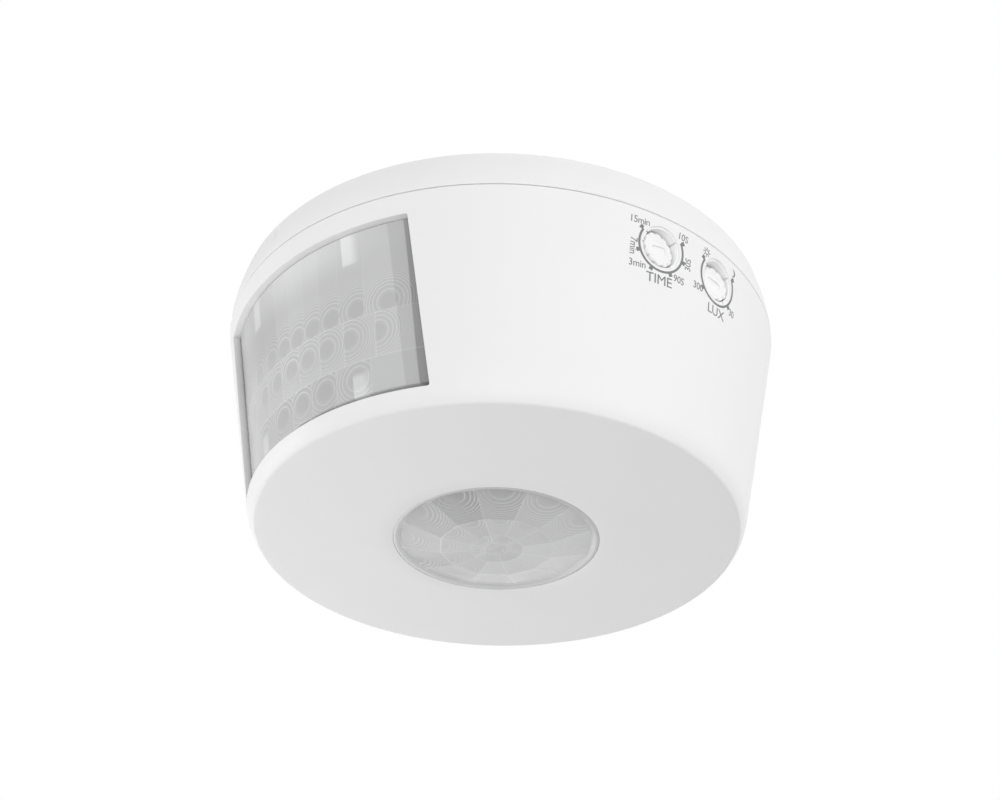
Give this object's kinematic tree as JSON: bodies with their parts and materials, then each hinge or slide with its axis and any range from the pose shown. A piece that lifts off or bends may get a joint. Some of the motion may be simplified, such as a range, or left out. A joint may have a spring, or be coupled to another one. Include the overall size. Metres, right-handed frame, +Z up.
{
  "type": "motion sensor",
  "caption": "Round ceiling motion sensor: tapered white head with a side window lens, a shallow lens dome below, two recessed setting knobs and a bayonet mounting base.",
  "frame": {"origin": "centre of the mounting base's flat ceiling face", "axes": "+Z up into the ceiling; the side window faces -Y; the two setting knobs face +X"},
  "size_m": [0.12, 0.12, 0.0584],
  "materials": {
    "white_shell": "fine satin moulded ABS, bright white",
    "inner_white": "plain moulded white plastic",
    "lens_plastic": "milky translucent polyethylene with moulded Fresnel grooves",
    "knob_plastic": "pale translucent moulded plastic",
    "dial_print": "dark grey pad-printed ink",
    "rubber": "soft dull black",
    "circuit_board": "green solder mask",
    "zinc_screw": "bright zinc plated",
    "can_metal": "nickel plated can",
    "dark_filter": "dark infrared filter",
    "black_plastic": "black moulded epoxy",
    "trimmer_blue": "blue dipped or moulded case",
    "brown_case": "brown moulded case",
    "red_lamp": "tinted clear epoxy",
    "relay_case": "blue moulded case",
    "film_case": "yellow-brown potted box",
    "capacitor_sleeve": "dark shrunk sleeve",
    "terminal_case": "green moulded polyamide"
  },
  "bodies": {
    "base": {"mounting_base": "white_shell", "cable_grommet": "rubber"},
    "head": {"housing_cover": "white_shell", "side_lens": "lens_plastic", "side_lens_retainer": "inner_white", "bottom_lens": "lens_plastic", "bottom_lens_retainer": "inner_white", "rear_chassis": "inner_white", "chassis_screw_1": "zinc_screw", "chassis_screw_2": "zinc_screw", "chassis_screw_3": "zinc_screw", "main_board": "circuit_board", "board_screw_1": "zinc_screw", "board_screw_2": "zinc_screw", "board_screw_3": "zinc_screw", "side_sensor_board": "circuit_board", "board_header": "black_plastic", "bottom_pir_holder": "black_plastic", "bottom_pir_can": "can_metal", "bottom_pir_window": "dark_filter", "side_pir_can": "can_metal", "side_pir_window": "dark_filter", "time_trimmer_body": "trimmer_blue", "lux_trimmer_body": "trimmer_blue", "photocell": "brown_case", "indicator_led": "red_lamp", "relay": "relay_case", "film_capacitor": "film_case", "electrolytic_capacitor": "capacitor_sleeve", "fuse": "brown_case", "varistor": "trimmer_blue", "inductor": "black_plastic", "controller_chip": "black_plastic", "terminal_block": "terminal_case", "terminal_screw_1": "zinc_screw", "terminal_screw_2": "zinc_screw", "terminal_screw_3": "zinc_screw"},
    "time_knob_body": {"time_knob": "knob_plastic"},
    "lux_knob_body": {"lux_knob": "knob_plastic"}
  },
  "joints": [
    {"name": "head_twist", "type": "hinge", "parent": "base", "child": "head", "pos_m": [0, 0, 0], "axis": [0, 0, -1], "range_deg": [0, 18]},
    {"name": "time_knob_turn", "type": "hinge", "parent": "head", "child": "time_knob_body", "pos_m": [0.0573, -0.0089, -0.0162], "axis": [1, 0, 0], "range_deg": [-200, 40]},
    {"name": "lux_knob_turn", "type": "hinge", "parent": "head", "child": "lux_knob_body", "pos_m": [0.0573, 0.0073, -0.0162], "axis": [1, 0, 0], "range_deg": [-188, 52]}
  ]
}
